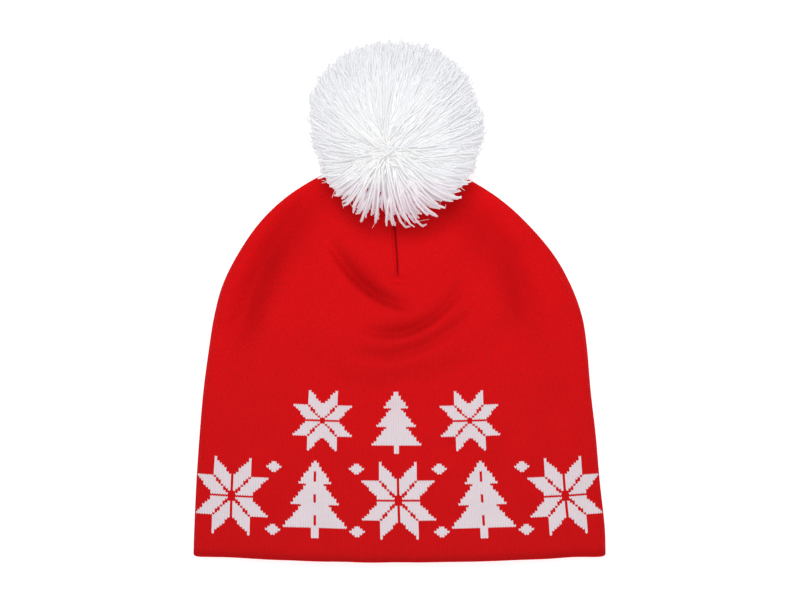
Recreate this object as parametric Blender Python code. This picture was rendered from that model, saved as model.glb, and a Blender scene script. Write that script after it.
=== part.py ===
"""A knitted bobble hat lying flat on its back: the body of double cloth, its pompom, and the tie between them.

Metres, +Z up. The hat rests on z = 0, its mouth opens towards -Y, and its crown and pompom point towards +Y.
The origin lies on the surface, under the middle of the whole hat.
"""

import math
import random

import bmesh
import bpy
from mathutils import Vector

# Knitted body
HEM_WIDTH = 0.218
CROWN_HEIGHT = 0.2136
WALL = 0.0026
FOLD_RADIUS = 0.0045
LOFT = 0.0125
HEM_ROLL = 0.007
HEM_DROP = 0.0025
RIM_ROUNDING = 0.0011

# Crown, drawn up towards the pompom, with a sewn dart down its front and its back
CROWN_LIFT = 0.013
LIFT_LENGTH = 0.075
DART_LENGTH = 0.062
DART_FADE = 0.010
DART_DEPTH = 0.0011
DART_WIDTH = 0.0016

# Pompom
POMPOM_RADIUS = 0.046
POMPOM_REACH = 0.0127
POMPOM_SETTLE = 0.003
LOCK_LENGTH = 0.011
LOCK_TAPER = 0.5
LOCK_UNEVEN = 0.0016
LOCK_SWAY = 0.0011
LOCK_SEED = 12

# Tie that holds the pompom on, with a knot inside the crown and one inside the pompom
TIE_RADIUS = 0.0014
KNOT_RADIUS = 0.0022
KNOT_LENGTH = 0.004
TIE_INSIDE = 0.015
TIE_OUTSIDE = 0.012
TIE_SIDES = 12
CLEARANCE = 0.0004

# One row for each section of the body, from the hem to the tip. side and middle are the heights at which the section
# meets the side edge and the middle of the front, as shares of CROWN_HEIGHT. half is its half width and lean its
# shift to the right, as shares of half of HEM_WIDTH. loft is a share of LOFT. bow is 1 for a shallow arc across the
# front and 0.5 for half an ellipse. rings is how many rings lead on to the next row.
SECTIONS = (
    dict(side=0.015, half=1.000, middle=0.000, lean=0.000, loft=1.00, bow=1.00, rings=2),
    dict(side=0.089, half=0.995, middle=0.073, lean=0.000, loft=0.96, bow=1.00, rings=2),
    dict(side=0.201, half=0.978, middle=0.184, lean=-0.007, loft=0.90, bow=1.00, rings=2),
    dict(side=0.313, half=0.961, middle=0.293, lean=-0.009, loft=0.86, bow=1.00, rings=2),
    dict(side=0.424, half=0.939, middle=0.399, lean=-0.012, loft=0.90, bow=1.00, rings=3),
    dict(side=0.536, half=0.915, middle=0.503, lean=-0.007, loft=1.06, bow=1.00, rings=4),
    dict(side=0.610, half=0.891, middle=0.569, lean=-0.007, loft=1.14, bow=1.00, rings=5),
    dict(side=0.685, half=0.844, middle=0.634, lean=-0.014, loft=1.16, bow=0.96, rings=5),
    dict(side=0.759, half=0.766, middle=0.696, lean=-0.019, loft=1.12, bow=0.90, rings=4),
    dict(side=0.834, half=0.652, middle=0.755, lean=-0.031, loft=1.04, bow=0.82, rings=2),
    dict(side=0.896, half=0.521, middle=0.805, lean=-0.037, loft=0.92, bow=0.72, rings=2),
    dict(side=0.945, half=0.370, middle=0.850, lean=-0.040, loft=0.80, bow=0.62, rings=2),
    dict(side=0.980, half=0.219, middle=0.897, lean=-0.037, loft=0.66, bow=0.54, rings=1),
    dict(side=0.990, half=0.150, middle=0.932, lean=-0.034, loft=0.60, bow=0.52, rings=1),
    dict(side=1.000, half=0.000, middle=1.000, lean=-0.027, loft=0.50, bow=0.50, rings=0),
)

# Soft folds in the front. Each runs from its start to its end, drawn towards its pull. x is a share of half of
# HEM_WIDTH, and y of CROWN_HEIGHT. deep is a share of WALL, below 0 for a crest, and broad a share of FOLD_RADIUS.
FOLDS = (
    dict(start=(-0.304, 0.772), pull=(-0.231, 0.659), end=(0.046, 0.638), deep=0.90, broad=0.85),
    dict(start=(-0.255, 0.593), pull=(0.231, 0.529), end=(0.338, 0.702), deep=0.85, broad=0.85),
    dict(start=(-0.255, 0.548), pull=(0.243, 0.494), end=(0.401, 0.697), deep=-0.60, broad=0.90),
    dict(start=(-0.377, 0.548), pull=(0.061, 0.453), end=(0.401, 0.610), deep=0.50, broad=1.00),
    dict(start=(-0.572, 0.548), pull=(0.017, 0.295), end=(0.547, 0.548), deep=0.60, broad=1.80),
    dict(start=(-0.319, 0.906), pull=(-0.737, 0.773), end=(-0.727, 0.586), deep=1.00, broad=1.40),
    dict(start=(0.304, 0.896), pull=(0.640, 0.793), end=(0.645, 0.586), deep=0.75, broad=1.80),
)

# Where the columns of the cloth run: in the rolled edge, as shares of the roll, and from there to the dart's side
ROLL_COLUMNS = (1 / 3, 2 / 3, 1.0)
FACE_COLUMNS = (0.06, 0.14, 0.24, 0.35, 0.47, 0.60, 0.73, 0.87, 1.0)

HALF_HEM = HEM_WIDTH / 2
TIP_ROW = len(SECTIONS) - 1
ROOM_ROW = TIP_ROW - 6
ROLL_LENGTH = FOLD_RADIUS * math.pi / 2
ROLL_TAKE_UP = ROLL_LENGTH - FOLD_RADIUS
HAT_LENGTH = CROWN_HEIGHT + POMPOM_REACH + POMPOM_RADIUS
HEM_Y = -HAT_LENGTH / 2
FACE_SOFTENING = 6 * FOLD_RADIUS
TOUCH = WALL / 1000

# How finely the curves are followed: steps in a row of SECTIONS, the step that finds the outline's direction, steps
# in a fold, how near its ends a fold stops fading, and halvings in a search
OUTLINE_STEPS = 8
OUTLINE_TURN = 0.02
FOLD_STEPS = 14
FOLD_ENDS = 0.03
SEARCH_STEPS = 24


def section(at):
    """The sizes of the section at a place along the table, drawn smoothly through its rows."""
    first = min(int(at), TIP_ROW - 1)
    share = at - first

    def row(index, name):
        if index < 0:
            return 2 * SECTIONS[0][name] - SECTIONS[1][name]
        if index > TIP_ROW:
            beyond = SECTIONS[2 * TIP_ROW - index][name]
            return -beyond if name == "half" else beyond
        return SECTIONS[index][name]

    def smooth(name):
        before, start, end, after = (row(first + step, name) for step in (-1, 0, 1, 2))
        pull = (end - before) / 2
        push = (after - start) / 2
        return (
            start * (2 * share**3 - 3 * share**2 + 1)
            + end * (3 * share**2 - 2 * share**3)
            + pull * (share**3 - 2 * share**2 + share)
            + push * (share**3 - share**2)
        )

    return {name: smooth(name) for name in ("side", "half", "middle", "lean", "loft", "bow")}


def outline_point(at):
    """The side edge of the flat cloth: the hat's outline, let out by what its rolled edge takes up."""
    low, high = section(max(at - OUTLINE_TURN, 0)), section(min(at + OUTLINE_TURN, TIP_ROW))
    here = section(at)
    along_x = (high["half"] - low["half"]) * HALF_HEM
    along_y = (high["side"] - low["side"]) * CROWN_HEIGHT
    length = math.hypot(along_x, along_y)
    outward = (0.0, 1.0) if at >= TIP_ROW else (along_y / length, -along_x / length)
    return (
        here["half"] * HALF_HEM + outward[0] * ROLL_TAKE_UP,
        here["side"] * CROWN_HEIGHT + outward[1] * ROLL_TAKE_UP,
    )


OUTLINE = [Vector(outline_point(step / OUTLINE_STEPS)) for step in range(TIP_ROW * OUTLINE_STEPS + 1)]
OUTLINE.insert(0, OUTLINE[0] - Vector((0.0, 2 * HEM_ROLL)))
OUTLINE.append(OUTLINE[-1] - Vector((2 * HEM_ROLL, 0.0)))


def way_to_edge(here):
    """The nearest point of the flat cloth's side edge on the right, and how far inside it a place is."""
    best, found, inset = None, None, 0.0
    for start, end in zip(OUTLINE, OUTLINE[1:]):
        along = end - start
        share = max(0.0, min(1.0, (here - start).dot(along) / along.length_squared))
        point = start + share * along
        distance = (here - point).length
        if best is None or distance < best:
            best, found = distance, point
            inset = distance if along.cross(here - start) > 0 else 0.0
    return found, inset


def smoothstep(value):
    value = max(0.0, min(1.0, value))
    return value * value * (3 - 2 * value)


def fold_depth(x, y):
    """How far the soft folds press the front in at a place."""
    depth = 0.0
    for fold in FOLDS:
        (x0, y0), (x1, y1), (x2, y2) = fold["start"], fold["pull"], fold["end"]
        best, place = None, 0.0
        for step in range(FOLD_STEPS + 1):
            share = step / FOLD_STEPS
            fold_x = HALF_HEM * ((1 - share) ** 2 * x0 + 2 * share * (1 - share) * x1 + share**2 * x2)
            fold_y = CROWN_HEIGHT * ((1 - share) ** 2 * y0 + 2 * share * (1 - share) * y1 + share**2 * y2)
            distance = math.hypot(x - fold_x, y - fold_y)
            if best is None or distance < best:
                best, place = distance, share
        fade = math.sqrt(math.sin(math.pi * min(max(place, FOLD_ENDS), 1 - FOLD_ENDS)))
        depth += fold["deep"] * WALL * fade * math.exp(-((best / (fold["broad"] * FOLD_RADIUS)) ** 2))
    return depth


def dart_depth(x, y):
    """How far the sewn dart down the middle draws the cloth in."""
    fade = smoothstep((DART_LENGTH - CROWN_HEIGHT + y) / DART_FADE)
    return DART_DEPTH * fade * math.exp(-((x / DART_WIDTH) ** 2))


def flat_place(sizes, across):
    """Where a point of a section lies on the flat cloth. across is 0 in the middle and 1 or -1 at the edges."""
    edge_x, edge_y = sizes["edge"]
    middle_y = sizes["middle"] * (CROWN_HEIGHT + ROLL_TAKE_UP)
    return Vector((abs(across) * edge_x, edge_y - (edge_y - middle_y) * (1 - across * across) ** sizes["bow"]))


def columns_across(sizes):
    """Where the columns cross a section, from its left edge to its right edge."""
    half = [1.0]
    for share in ROLL_COLUMNS:
        outer, inner = 1.0, 0.0
        for _ in range(SEARCH_STEPS):
            middle = (outer + inner) / 2
            if way_to_edge(flat_place(sizes, middle))[1] < share * ROLL_LENGTH:
                outer = middle
            else:
                inner = middle
        half.append((outer + inner) / 2)
    roll_end, dart_side = half[-1], DART_WIDTH / sizes["edge"][0]
    half += [roll_end + (dart_side - roll_end) * share for share in FACE_COLUMNS]
    return [-across for across in half] + [0.0] + half[::-1]


def cloth_point(sizes, across, is_front):
    """A point of the outer face of the front or of the back, at a place across a section."""
    flat = flat_place(sizes, across)
    nearest, inset = way_to_edge(flat)
    turn = min(inset, ROLL_LENGTH) / FOLD_RADIUS
    x, y = flat
    if abs(across) == 1:
        x, y = sizes["half"] * HALF_HEM, sizes["side"] * CROWN_HEIGHT
        inset, turn = 0.0, 0.0
    elif inset < ROLL_LENGTH:
        x, y = nearest + (flat - nearest) / inset * (ROLL_TAKE_UP + FOLD_RADIUS * (1 - math.cos(turn)))
    x = math.copysign(x, across)
    lift = CROWN_LIFT * smoothstep((y - CROWN_HEIGHT + LIFT_LENGTH) / LIFT_LENGTH)
    dart = dart_depth(x, y)
    if is_front:
        reach = min(inset / HALF_HEM, 1.0)
        above_hem = (y - hem_height(across)) / HEM_ROLL
        height = FOLD_RADIUS * (1 + math.sin(turn))
        height += sizes["loft"] * LOFT * (1 - (1 - reach) ** 2)
        height -= (fold_depth(x, y) + dart) * smoothstep(inset / ROLL_LENGTH)
        height -= HEM_DROP * max(0.0, 1 - above_hem) ** 2 * smoothstep(inset / FACE_SOFTENING)
    else:
        height = FOLD_RADIUS * (1 - math.sin(turn)) + dart * smoothstep(lift / DART_WIDTH)
    return Vector((x + sizes["lean"] * HALF_HEM, y + HEM_Y, height + lift))


def hem_height(across):
    """Where the hem lies, as its middle hangs a little below its corners."""
    low, high = SECTIONS[0]["middle"], SECTIONS[0]["side"]
    return CROWN_HEIGHT * (high - (high - low) * (1 - across * across))


def crown_tip():
    """The outermost point of the crown's rolled edge."""
    return Vector((SECTIONS[-1]["lean"] * HALF_HEM, CROWN_HEIGHT + HEM_Y, CROWN_LIFT + FOLD_RADIUS))


def ring(at):
    """One ring of the outer face: over the front from left to right, and back under the hat."""
    sizes = section(at)
    sizes["edge"] = outline_point(at)
    across = columns_across(sizes)
    front = [cloth_point(sizes, place, True) for place in across]
    back = [cloth_point(sizes, place, False) for place in reversed(across)]
    return front + back[1:]


def cloth_rings(first):
    """The rings of the outer face, from a row of the table to the tip, where they end in one point."""
    rings = []
    for index in range(first, TIP_ROW):
        count = SECTIONS[index]["rings"]
        rings += [ring(index + step / count) for step in range(count)]
    return rings + [[crown_tip()] * len(rings[0])]


def wrapped_cloth(first):
    """A sheet of cloth wrapped round into the hat's outer face, from a row of the table to the tip."""
    rings = cloth_rings(first)
    cloth = bmesh.new()
    bmesh.ops.create_grid(cloth, x_segments=len(rings[0]) - 1, y_segments=len(rings) - 1, size=1.0)
    for vert, place in zip(cloth.verts, (point for points in rings for point in points)):
        vert.co = place
    bmesh.ops.remove_doubles(cloth, verts=cloth.verts, dist=TOUCH)
    cloth.normal_update()
    return cloth


def material(name, colour, roughness):
    made = bpy.data.materials.new(name)
    made.use_nodes = True
    shader = made.node_tree.nodes["Principled BSDF"]
    shader.inputs["Base Color"].default_value = (*colour, 1.0)
    shader.inputs["Roughness"].default_value = roughness
    shader.inputs["Metallic"].default_value = 0.0
    return made


def finished(name, form, finish=None):
    """An object from a bmesh, shaded smooth, or a hidden cutter if it has no finish."""
    mesh = bpy.data.meshes.new(name)
    form.to_mesh(mesh)
    form.free()
    obj = bpy.data.objects.new(name, mesh)
    bpy.context.scene.collection.objects.link(obj)
    if finish is None:
        obj.hide_render = True
        obj.display_type = "WIRE"
    else:
        mesh.materials.append(finish)
        mesh.shade_smooth()
    return obj


def cut(obj, cutter):
    """Cuts one object's form out of another."""
    change = obj.modifiers.new("Cut " + cutter.name, "BOOLEAN")
    change.operation = "DIFFERENCE"
    change.object = cutter


def largest_piece(obj):
    """Applies an object's modifiers and keeps its largest piece, as locks that the crown cuts off are not yarn."""
    evaluated = obj.evaluated_get(bpy.context.evaluated_depsgraph_get())
    form = bmesh.new()
    form.from_mesh(evaluated.to_mesh())
    left = set(form.verts)
    pieces = []
    while left:
        piece, edge_of_piece = set(), [left.pop()]
        while edge_of_piece:
            vert = edge_of_piece.pop()
            piece.add(vert)
            joined = {edge.other_vert(vert) for edge in vert.link_edges} & left
            left -= joined
            edge_of_piece += joined
        pieces.append(piece)
    pieces.sort(key=len)
    bmesh.ops.delete(form, geom=[vert for piece in pieces[:-1] for vert in piece], context="VERTS")
    obj.modifiers.clear()
    form.to_mesh(obj.data)
    form.free()


def pompom_centre():
    tip = crown_tip()
    return Vector((tip.x, tip.y + POMPOM_REACH, POMPOM_RADIUS - POMPOM_SETTLE))


def knitted_body(finish):
    """The hat's body: one skin of double cloth, closed at the crown and open at the hem."""
    body = finished("knitted_body", wrapped_cloth(0), finish)
    wall = body.modifiers.new("Cloth thickness", "SOLIDIFY")
    wall.thickness = WALL
    wall.offset = -1
    wall.use_even_offset = True
    rim = body.modifiers.new("Rounded hem", "BEVEL")
    rim.width = RIM_ROUNDING
    rim.segments = 2
    rim.limit_method = "ANGLE"
    rim.angle_limit = math.radians(60)
    cut(body, tie_form("tie_way_through_crown", CLEARANCE))
    return body


def crown_room():
    """The room that the crown takes up inside the pompom, a clearance larger than the crown."""
    room = wrapped_cloth(ROOM_ROW)
    moves = [vert.normal * CLEARANCE for vert in room.verts]
    for vert, move in zip(room.verts, moves):
        vert.co += move
    bmesh.ops.holes_fill(room, edges=[edge for edge in room.edges if edge.is_boundary], sides=0)
    bmesh.ops.recalc_face_normals(room, faces=room.faces)
    return finished("crown_room", room)


def pompom(finish):
    """A ball of yarn locks fused to one core. Its foot is pressed flat by its weight, and the crown parts it."""
    rng = random.Random(LOCK_SEED)
    centre = pompom_centre()
    ball = bmesh.new()
    bmesh.ops.create_icosphere(ball, subdivisions=3, radius=POMPOM_RADIUS - LOCK_LENGTH)
    locks = bmesh.ops.extrude_discrete_faces(ball, faces=ball.faces)["faces"]
    for lock in locks:
        out = lock.calc_center_median().normalized()
        sway = Vector([rng.uniform(-LOCK_SWAY, LOCK_SWAY) for _ in range(3)])
        tip = out * (POMPOM_RADIUS - rng.uniform(0, LOCK_UNEVEN)) + sway - out * sway.dot(out)
        middle = lock.calc_center_median()
        for vert in lock.verts:
            vert.co = tip + (vert.co - middle) * LOCK_TAPER
    for vert in ball.verts:
        vert.co += centre
        vert.co.z = max(vert.co.z, 0.0)
    ball_of_yarn = finished("pompom", ball, finish)
    cut(ball_of_yarn, crown_room())
    cut(ball_of_yarn, tie_form("tie_way_into_pompom", CLEARANCE))
    largest_piece(ball_of_yarn)
    return ball_of_yarn


def tie_form(name, clearance=0.0, finish=None):
    """The tie, turned about its own line through the crown's tip. The ways cut for it are a clearance larger."""
    ends = (-TIE_INSIDE - clearance, TIE_OUTSIDE + clearance)
    necks = (KNOT_LENGTH - TIE_INSIDE + clearance, TIE_OUTSIDE - KNOT_LENGTH - clearance)
    knot, cord = KNOT_RADIUS + clearance, TIE_RADIUS + clearance
    profile = [(ends[0], 0.0), (ends[0], knot), (necks[0], knot), (necks[0], cord)]
    profile += [(necks[1], cord), (necks[1], knot), (ends[1], knot), (ends[1], 0.0)]
    tie = bmesh.new()
    corners = [tie.verts.new((radius, along, 0.0)) for along, radius in profile]
    edges = [tie.edges.new(pair) for pair in zip(corners, corners[1:])]
    bmesh.ops.spin(tie, geom=corners + edges, axis=(0, 1, 0), angle=2 * math.pi, steps=TIE_SIDES, use_merge=True)
    bmesh.ops.remove_doubles(tie, verts=tie.verts, dist=TOUCH)
    bmesh.ops.recalc_face_normals(tie, faces=tie.faces)
    bmesh.ops.translate(tie, verts=tie.verts, vec=crown_tip())
    return finished(name, tie, finish)


def main():
    for obj in list(bpy.data.objects):
        bpy.data.objects.remove(obj)
    red_knit = material("red_knit", (0.58, 0.008, 0.010), 0.85)
    white_yarn = material("white_yarn", (0.86, 0.86, 0.84), 0.9)
    knitted_body(red_knit)
    pompom(white_yarn)
    tie_form("pompom_tie", finish=white_yarn)


main()
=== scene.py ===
"""A knitted bobble hat lying on its back on a pale surface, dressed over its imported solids."""

import math

import bmesh
import bpy
import numpy as np
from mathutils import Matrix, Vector


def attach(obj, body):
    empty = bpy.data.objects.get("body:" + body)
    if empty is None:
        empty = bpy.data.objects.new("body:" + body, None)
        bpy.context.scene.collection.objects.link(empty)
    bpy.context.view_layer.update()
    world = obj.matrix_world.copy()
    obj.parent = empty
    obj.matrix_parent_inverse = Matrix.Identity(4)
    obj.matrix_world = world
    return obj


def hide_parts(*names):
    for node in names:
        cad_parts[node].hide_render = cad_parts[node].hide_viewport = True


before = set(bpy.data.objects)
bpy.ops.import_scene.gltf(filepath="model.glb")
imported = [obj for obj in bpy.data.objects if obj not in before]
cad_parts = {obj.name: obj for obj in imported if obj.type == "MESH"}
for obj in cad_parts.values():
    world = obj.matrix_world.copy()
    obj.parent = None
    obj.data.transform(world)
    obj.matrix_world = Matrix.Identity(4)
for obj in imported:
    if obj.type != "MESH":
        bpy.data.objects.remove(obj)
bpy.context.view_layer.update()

# Sizes of the hat, in metres
HEM_WIDTH = 0.218
CROWN_HEIGHT = 0.2136
WALL = 0.0026
FOLD_RADIUS = 0.0045
LOFT = 0.0125
HEM_ROLL = 0.008
HEM_DROP = 0.0040
CROWN_LIFT = 0.013
LIFT_LENGTH = 0.075
DART_LENGTH = 0.066
DART_FADE = 0.006
DART_DEPTH = 0.0015
DART_WIDTH = 0.0007
DART_ASIDE = 0.0008
POMPOM_RADIUS = 0.046
POMPOM_REACH = 0.0127
POMPOM_SETTLE = 0.003

# The knit: stitches across the front, courses from the hem to the tip, and how far a stitch's V dips
WALES = 165
COURSES = 186
DIP = 0.5

# One row for each section of the body, from the hem to the tip, as shares of the sizes above: side, half
# width, middle, lean, loft and bow
SECTIONS = (
    (0.015, 1.000, 0.000, 0.000, 1.00, 1.00),
    (0.089, 0.995, 0.073, 0.000, 0.96, 1.00),
    (0.201, 0.978, 0.184, -0.007, 0.90, 1.00),
    (0.313, 0.961, 0.293, -0.009, 0.86, 1.00),
    (0.424, 0.939, 0.399, -0.012, 0.90, 1.00),
    (0.536, 0.915, 0.503, -0.007, 1.06, 1.00),
    (0.610, 0.891, 0.569, -0.007, 1.14, 1.00),
    (0.685, 0.844, 0.634, -0.014, 1.16, 0.96),
    (0.759, 0.766, 0.696, -0.019, 1.12, 0.90),
    (0.834, 0.652, 0.755, -0.031, 1.04, 0.82),
    (0.896, 0.521, 0.805, -0.037, 0.92, 0.72),
    (0.945, 0.370, 0.850, -0.040, 0.80, 0.62),
    (0.980, 0.219, 0.897, -0.037, 0.66, 0.54),
    (0.990, 0.150, 0.932, -0.034, 0.60, 0.52),
    (1.000, 0.000, 1.000, -0.027, 0.50, 0.50),
)

# Folds in the front. A row has its start, pull and end as shares of half the hem's width and of the crown's
# height, and how deep it is as a share of the wall. Then it has how broad it is to the left of the way it
# runs and to the right, as shares of the fold radius, and how round the left is: 1 for a crease and 2 for a
# soft hollow.
FOLDS = (
    ((-0.300, 0.790), (-0.165, 0.642), (0.085, 0.630), 2.60, 1.35, 0.60, 1.3),
    ((-0.190, 0.584), (0.080, 0.518), (0.330, 0.690), 2.10, 1.15, 0.60, 1.3),
    ((-0.230, 0.522), (0.060, 0.474), (0.390, 0.634), 1.45, 1.10, 0.80, 1.4),
    ((-0.564, 0.538), (-0.050, 0.262), (0.584, 0.599), 2.20, 2.80, 2.40, 2.0),
    ((-0.300, 0.920), (-0.655, 0.800), (-0.800, 0.520), 3.40, 2.30, 1.70, 1.6),
    ((0.700, 0.500), (0.575, 0.807), (0.300, 0.890), 2.45, 2.70, 2.00, 1.6),
    ((-0.050, 0.704), (0.010, 0.690), (0.075, 0.699), 0.80, 0.45, 0.45, 2.0),
)

# Painted shade in the creases, down the dart and along the hem: how dark a crease is for its depth, how broad
# as a share of the fold, how dark the hem is, and over how many courses
SHADE = 0.25
SHADE_BREADTH = 0.75
HEM_SHADE = 0.35
HEM_SHADE_COURSES = 2.2

# The slight unevenness of lying cloth: how many waves, how high and how long they are
UNEVEN_SEED = 3
UNEVEN_WAVES = 14
UNEVEN_HEIGHT = 0.00016
UNEVEN_LENGTH = (0.018, 0.055)

# The sheets: points along the outline and along a fold, rows of the inner face and of the hem's turn, how
# far up the inner face reaches, and the steps along the table in which its height is measured
OUTLINE_STEPS = 12
EDGE_STEP = 0.02
FOLD_STEPS = 24
FOLD_ENDS = 0.002
INNER_ROWS = 46
HEM_ROWS = 8
INNER_SHARE = 0.93
TABLE_STEPS = 600

# The pattern: where its two bands start above the hem, how far apart the middles of their motifs are, how
# many stitches and courses a star takes to each side of its middle, and each fir tree's tiers and top
LOWER_BAND = dict(foot=11, gap=33, star=(14, 18), tiers=((5, 12, 5), (16, 9, 3), (26, 6, 0)), top=37)
UPPER_BAND = dict(foot=52, gap=30, star=(12, 15), tiers=((4, 10, 4), (13, 8, 2), (22, 5, 0)), top=31)
TRUNK_HALF = 1
DOT_HALF = 2.5
DOT_ROWS = (3, 33)
PETAL_GAP = 0.045
PETAL_REACH = 0.5
SLIT_SHARE = 0.55

# The pompom's ball: how far its middle lies off the solid's, its radius, its parting and its core
YARN_SEED = 8
BALL_SHIFT = np.array([0.0015, 0.0020, 0.0])
BALL_RADIUS = 0.0430
PARTING = Vector((-0.123, -0.355, 0.927)).normalized()
PARTING_SPREAD = 0.055
CORE_SHARE = 0.82
CORE_SHIFT = Vector((0.0, 0.006, 0.0))

# A strand: its radius, how that varies and tapers, how much it curls and how unevenly it is cut
YARN_RADIUS = 0.00056
YARN_THICKNESS = (0.8, 1.15)
TAPER_PLACES = (0, 0.8, 1.0)
TAPER_SHARES = (0.9, 1.0, 0.75)
CURL = 0.0019
LENGTH_UNEVEN = 0.050
LENGTH_BIAS = 1.5

# Combed strands. Angles are in degrees from the parting: where strands start, and the least, the most and
# the farther reach of their tips, over the ball and over the crown. Radii are shares of the ball's.
COMBED = 9400
COMBED_POINTS = 6
COMBED_CLUMPS = 1100
CLUMP_SPREAD = 0.045
COMBED_STARTS = (2.0, 24.0)
COMBED_TIPS = (56.0, 96.0, 24.0)
COMBED_OVER_CROWN = (48.0, 73.0, 11.0)
TIPS_UNEVEN = 2.0
COMBED_EASE = 0.9
COMBED_ROOTS = (0.74, 0.90)
COMBED_ROUND = 2.5
STRAY_SPREAD = 0.03

# Over the crown: from where a strand's way counts as over it and over what span, the same for strands that
# run farther down it, how much farther these reach, and how far one goes on that would turn back
CROWN_FROM, CROWN_SPAN = 0.42, 0.35
DOWNHILL_FROM, DOWNHILL_SPAN = 0.3, 0.6
CROWN_REACH = 0.27
RUN_OUT = 0.35

# A strand laid on the hat keeps its length: how far a step may stretch for that, and the least step
STRETCH = (0.5, 1.3)
LEAST_MOVE = 1e-6

# The fringe: its locks, how far strands are drawn into them, how soon and how tightly, where in its share a
# lock's middle may lie, how much straighter and thicker its strands are, and which share of strands and
# clumps is left out
LOCKS = 70
LOCK_PULL = 0.94
LOCK_BEND = 1.2
LOCK_SPREAD = 0.007
LOCK_MIDDLES = (0.25, 0.75)
FRINGE_STRAIGHTER = 0.6
FRINGE_THICKER = 0.25
FRINGE_THINNED = 0.87
CLUMPS_THINNED = 0.55

# Standing strands: where they start as a share of their length and how far to the parting's side, how many
# degrees off the parting they begin, the tuft at the parting, and how they shorten beside and under the
# crown
STANDING = 7200
STANDING_POINTS = 4
STANDING_CLUMPS = 900
STANDING_JITTER = 0.012
CLUMPING = 0.35
STANDING_START = 0.45
STANDING_ASIDE = 0.35
STANDING_FROM = 48.0
TUFT_WITHIN = 14.0
TUFT_SHARE = 0.90
STANDING_DRAWN_IN = 0.22
DRAWN_IN_FROM, DRAWN_IN_SPAN = 0.70, 0.22
UNDER_CROWN_SHARE = 0.48
UNDER_CROWN_HEIGHT = 0.012

# Fine loose fibres at the strands' ends
FUZZ = 3000
FUZZ_RADIUS = 0.00012
FUZZ_LENGTH = 0.0022
FUZZ_SHARES = (0.4, 1.0)
FUZZ_SPREAD = 0.0014
FUZZ_CURL = 0.001

# Lumps of the ball's outline: the way each lies in degrees from +X, its height and its breadth in degrees
LUMPS = (
    (148, 0.045, 16),
    (188, -0.035, 12),
    (25, -0.030, 18),
    (92, -0.035, 28),
    (-25, -0.035, 16),
    (205, -0.035, 14),
)

# The crown's height map: its corners, its step, where rays start and what it holds where there is no cloth
MAP_LOW = np.array([-0.06, 0.03])
MAP_HIGH = np.array([0.055, 0.0785])
MAP_STEP = 0.001
RAY_START = 0.2
NO_CLOTH = -1.0

# Colours of the knit: red, with painted shade between stitches, painted light towards the crown and painted
# shade in creases, and white
RED = (0.670, 0.0072, 0.0090)
# painted shade: the red between stitches
RED_GAP_SHADE = (0.460, 0.0050, 0.0064)
# painted light: the red painted this bright towards the crown
RED_PAINTED_LIGHT = (0.900, 0.0058, 0.0085)
# painted shade: the red in creases, down the dart and along the hem
RED_CREASE_SHADE = (0.250, 0.0025, 0.0040)
WHITE_STITCH = (0.83, 0.76, 0.80)
# between white stitches: pinker from the red yarn there, and darker as painted shade
WHITE_GAP_RED_AND_SHADE = (0.70, 0.48, 0.54)

# The knit's finish: how round loops and wales are, how much each lights the yarn as painted shade in the gaps
# and how high they stand
LOOP_ROUND, LOOP_SOFT = 0.6, 0.7
WALE_ROUND = 0.6
WHITE_ROUND = 0.6
LOOP_LIGHT, WALE_LIGHT = 0.35, 0.45
# random tone of each stitch and of cloudy patches, added to the same mix as the painted gap shade
UNEVEN_LIGHT, CLOUDY_LIGHT = 0.15, 0.15
FIBRE_SCALE, FIBRE_DETAIL, FIBRE_RELIEF = 2600.0, 3.0, 0.25
CLOUDY_SCALE = 45.0
UNEVEN_RELIEF = 0.12
KNIT_BUMP, KNIT_BUMP_HEIGHT = 0.55, 0.0003
MATT = 0.9
KNIT_SHINE = 0.04

# Colours of the pompom's yarn, its painted pink reflection over the red knit, and the glow that stands in for
# light scattered in it
YARN_WHITE = (0.790, 0.792, 0.812)
YARN_TINT = (0.760, 0.766, 0.796)
YARN_ROOT = (0.830, 0.830, 0.798)
# painted reflection: the pink of the red knit's light on the yarn
YARN_RED_BOUNCE = (0.730, 0.600, 0.655)
YARN_GLOW = 0.18

# How far from the parting the yarn's warmth fades, and between which places on Y the painted reflection of
# the red turns it pink
WARM_REACH = (0.008, 0.042)
RED_BOUNCE_REACH = (0.066, 0.044)

# The yarn's finish
TWIST_SCALE = 1800.0
YARN_BUMP, YARN_BUMP_HEIGHT = 0.2, 0.0002
YARN_SHINE = 0.1
YARN_SCATTER, YARN_SCATTER_DEPTH = 0.35, 0.0012

# The pale surface under the hat, which glows as a light table does
FLOOR_HALF = 3.0
FLOOR_GAP = 0.0003
FLOOR_PALE = (0.93, 0.93, 0.93, 1.0)
FLOOR_GLOW = 0.60

# Soft lights: name, size, power, place and what each aims at. Then the even light all round and its colour.
LIGHTS = (
    ("key", (0.40, 0.34), 6.2, (-0.03, 0.27, 1.05), (0, 0.02, 0)),
    ("fill", (0.50, 0.30), 1.7, (0.05, -0.50, 0.80), (0, 0.05, 0)),
)
WORLD_LIGHT = 0.33
PURE_WHITE = (1.0, 1.0, 1.0, 1.0)

# The camera looks straight down: how wide the picture is, how high the camera stands and what it looks at
PHOTO_WIDTH = 0.424
CAMERA_HEIGHT = 1.6
SENSOR = 36.0
AIM = (0.00025, 0.0022)

# Sizes that follow from those above
HALF_HEM = HEM_WIDTH / 2
TIP_ROW = len(SECTIONS) - 1
ROLL_LENGTH = FOLD_RADIUS * math.pi / 2
ROLL_TAKE_UP = ROLL_LENGTH - FOLD_RADIUS
HEM_Y = -(CROWN_HEIGHT + POMPOM_REACH + POMPOM_RADIUS) / 2
FACE_SOFTENING = 6 * FOLD_RADIUS
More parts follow.
